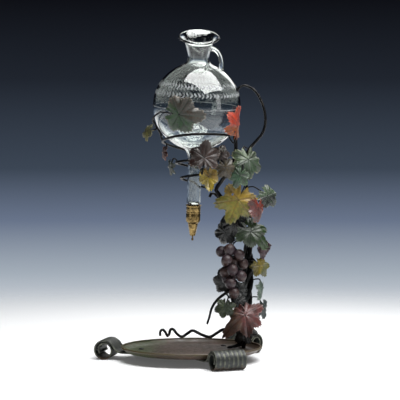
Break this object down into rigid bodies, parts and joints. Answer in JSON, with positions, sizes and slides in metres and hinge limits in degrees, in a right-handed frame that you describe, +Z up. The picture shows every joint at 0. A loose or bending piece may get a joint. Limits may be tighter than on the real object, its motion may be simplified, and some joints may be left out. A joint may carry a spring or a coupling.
{
  "type": "spirit dispenser",
  "caption": "Glass globe with a push-up brass nozzle, hung in a coiled wrought-iron grapevine with painted leaves and grapes on a footed round tray.",
  "frame": {"origin": "middle of the bounding box on the surface that the three scrolled feet stand on", "axes": "+Z up; +X towards the side of the tray where the vine stands; -Y is the front, where the tall face of the globe and the grapes are seen"},
  "size_m": [0.314, 0.308, 0.5648],
  "materials": {
    "wrought_iron": "worn black paint over forged iron, satin",
    "foot_paint": "dark green-black paint rubbed to bare iron on the ribs",
    "tray_paint": "brown paint with an olive patch and rust at the rim",
    "leaf_green": "hand-painted sheet iron, satin",
    "leaf_dark_green": "hand-painted sheet iron, satin",
    "leaf_olive": "hand-painted sheet iron, satin",
    "leaf_yellow": "hand-painted sheet iron, satin",
    "leaf_red": "hand-painted sheet iron, satin",
    "leaf_orange": "hand-painted sheet iron, satin",
    "leaf_maroon": "hand-painted sheet iron, satin",
    "leaf_rose": "hand-painted sheet iron, satin",
    "leaf_black": "darkened sheet iron, satin",
    "grape_paint": "dull plum paint with a bloom",
    "blown_glass": "clear with a grey-green edge, etched bands",
    "nozzle_brass": "aged, softly polished",
    "cork": "natural cork, matt",
    "washer_leather": "oiled, matt",
    "spring_steel": "drawn wire"
  },
  "bodies": {
    "stand": {"tray": "tray_paint", "foot_left": "foot_paint", "foot_rivet_left": "foot_paint", "foot_front": "foot_paint", "foot_rivet_front": "foot_paint", "foot_rear": "foot_paint", "foot_rivet_rear": "foot_paint", "trunk_arch": "wrought_iron", "trunk_thorn": "wrought_iron", "trunk_upright": "wrought_iron", "trunk_nut": "wrought_iron", "trunk_collar": "wrought_iron", "cradle_coil": "wrought_iron", "loop_tendril": "wrought_iron", "branch_tendril": "wrought_iron", "hanging_tendril": "wrought_iron", "base_tendril": "wrought_iron", "grape_stalk": "wrought_iron", "leaf_globe_front": "leaf_dark_green", "leaf_globe_right": "leaf_orange", "leaf_branch": "leaf_olive", "leaf_cradle_red": "leaf_red", "leaf_cradle_green": "leaf_dark_green", "leaf_funnel": "leaf_maroon", "leaf_tube": "leaf_olive", "leaf_elbow": "leaf_maroon", "leaf_shoulder": "leaf_green", "leaf_shoulder_low": "leaf_green", "leaf_yellow": "leaf_yellow", "leaf_red": "leaf_red", "leaf_right": "leaf_green", "leaf_broad": "leaf_green", "leaf_bud": "leaf_maroon", "leaf_dark_upper": "leaf_black", "leaf_small_yellow": "leaf_yellow", "leaf_side": "leaf_green", "leaf_olive": "leaf_olive", "leaf_rose": "leaf_rose", "leaf_low_side": "leaf_dark_green", "leaf_dark_lower": "leaf_black", "grape_1": "grape_paint", "grape_2": "grape_paint", "grape_3": "grape_paint", "grape_4": "grape_paint", "grape_5": "grape_paint", "grape_6": "grape_paint", "grape_7": "grape_paint", "grape_8": "grape_paint", "grape_9": "grape_paint"},
    "globe": {"glass_globe": "blown_glass", "glass_neck": "blown_glass", "glass_tube": "blown_glass", "glass_handle": "blown_glass", "ferrule": "nozzle_brass", "cork_sleeve": "cork", "nozzle_cone": "nozzle_brass", "spring_guide": "nozzle_brass", "valve_spring": "spring_steel"},
    "valve": {"valve_pin": "nozzle_brass", "valve_washer": "washer_leather"}
  },
  "joints": [
    {"name": "globe_lift", "type": "slide", "parent": "stand", "child": "globe", "axis": [0.0332, -0.0871, 0.9956], "range_m": [0, 0.28]},
    {"name": "valve_push", "type": "slide", "parent": "globe", "child": "valve", "axis": [0.0332, -0.0871, 0.9956], "range_m": [0, 0.004], "stiffness_N_per_m": 300, "springref_m": -0.004, "deforming": ["valve_spring"]}
  ]
}
